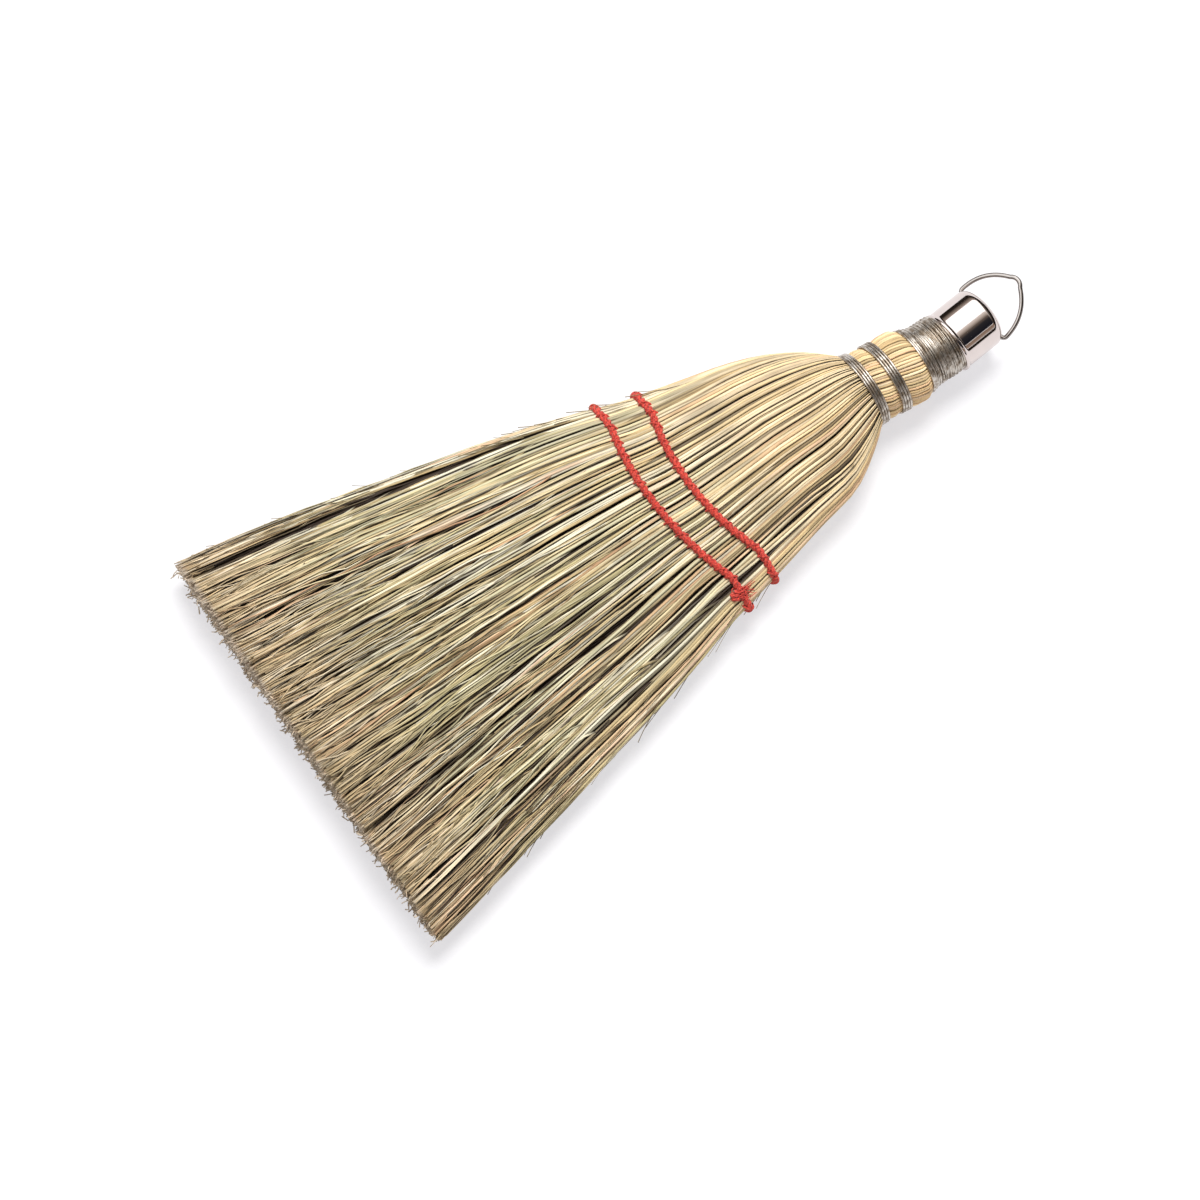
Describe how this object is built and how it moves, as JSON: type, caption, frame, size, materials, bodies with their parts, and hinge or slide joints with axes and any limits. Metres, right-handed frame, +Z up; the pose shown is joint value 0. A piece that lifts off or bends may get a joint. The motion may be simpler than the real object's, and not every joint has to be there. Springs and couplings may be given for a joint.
{
  "type": "whisk broom",
  "caption": "Corn whisk broom: a flat sewn fan of straw, bound with wire to a round neck, with a metal cap and a hinged hanging ring.",
  "frame": {"origin": "at the table, under the middle of the box, with the broom lying on its back", "axes": "+X from the cut tips towards the hanging ring, +Y across the fan to its left edge, +Z up out of the front face"},
  "size_m": [0.329, 0.179, 0.0333],
  "materials": {
    "straw": "dry natural broomcorn, matt, with fine lengthwise fibres",
    "binding_wire": "dull tinned wire",
    "red_twine": "red twisted sewing twine, slightly fuzzy",
    "bright_nickel": "bright nickel-plated sheet",
    "bright_ring_wire": "bright plated wire"
  },
  "bodies": {
    "broom": {"back_cover_right": "straw", "back_cover_middle": "straw", "back_cover_left": "straw", "inside_right": "straw", "inside_middle": "straw", "inside_left": "straw", "front_cover_right": "straw", "front_cover_middle": "straw", "front_cover_left": "straw", "lower_band_wire": "binding_wire", "upper_band_wire": "binding_wire", "neck_winding_wire": "binding_wire", "lower_twine_row": "red_twine", "upper_twine_row": "red_twine", "twine_tail": "red_twine", "handle_cap": "bright_nickel"},
    "ring": {"hanging_ring": "bright_ring_wire"}
  },
  "joints": [
    {"name": "ring_swing", "type": "hinge", "parent": "broom", "child": "ring", "pos_m": [0.14632, -0.00421, 0.01655], "axis": [-0.0941, 0.9956, 0], "range_deg": [-62, 118]}
  ]
}
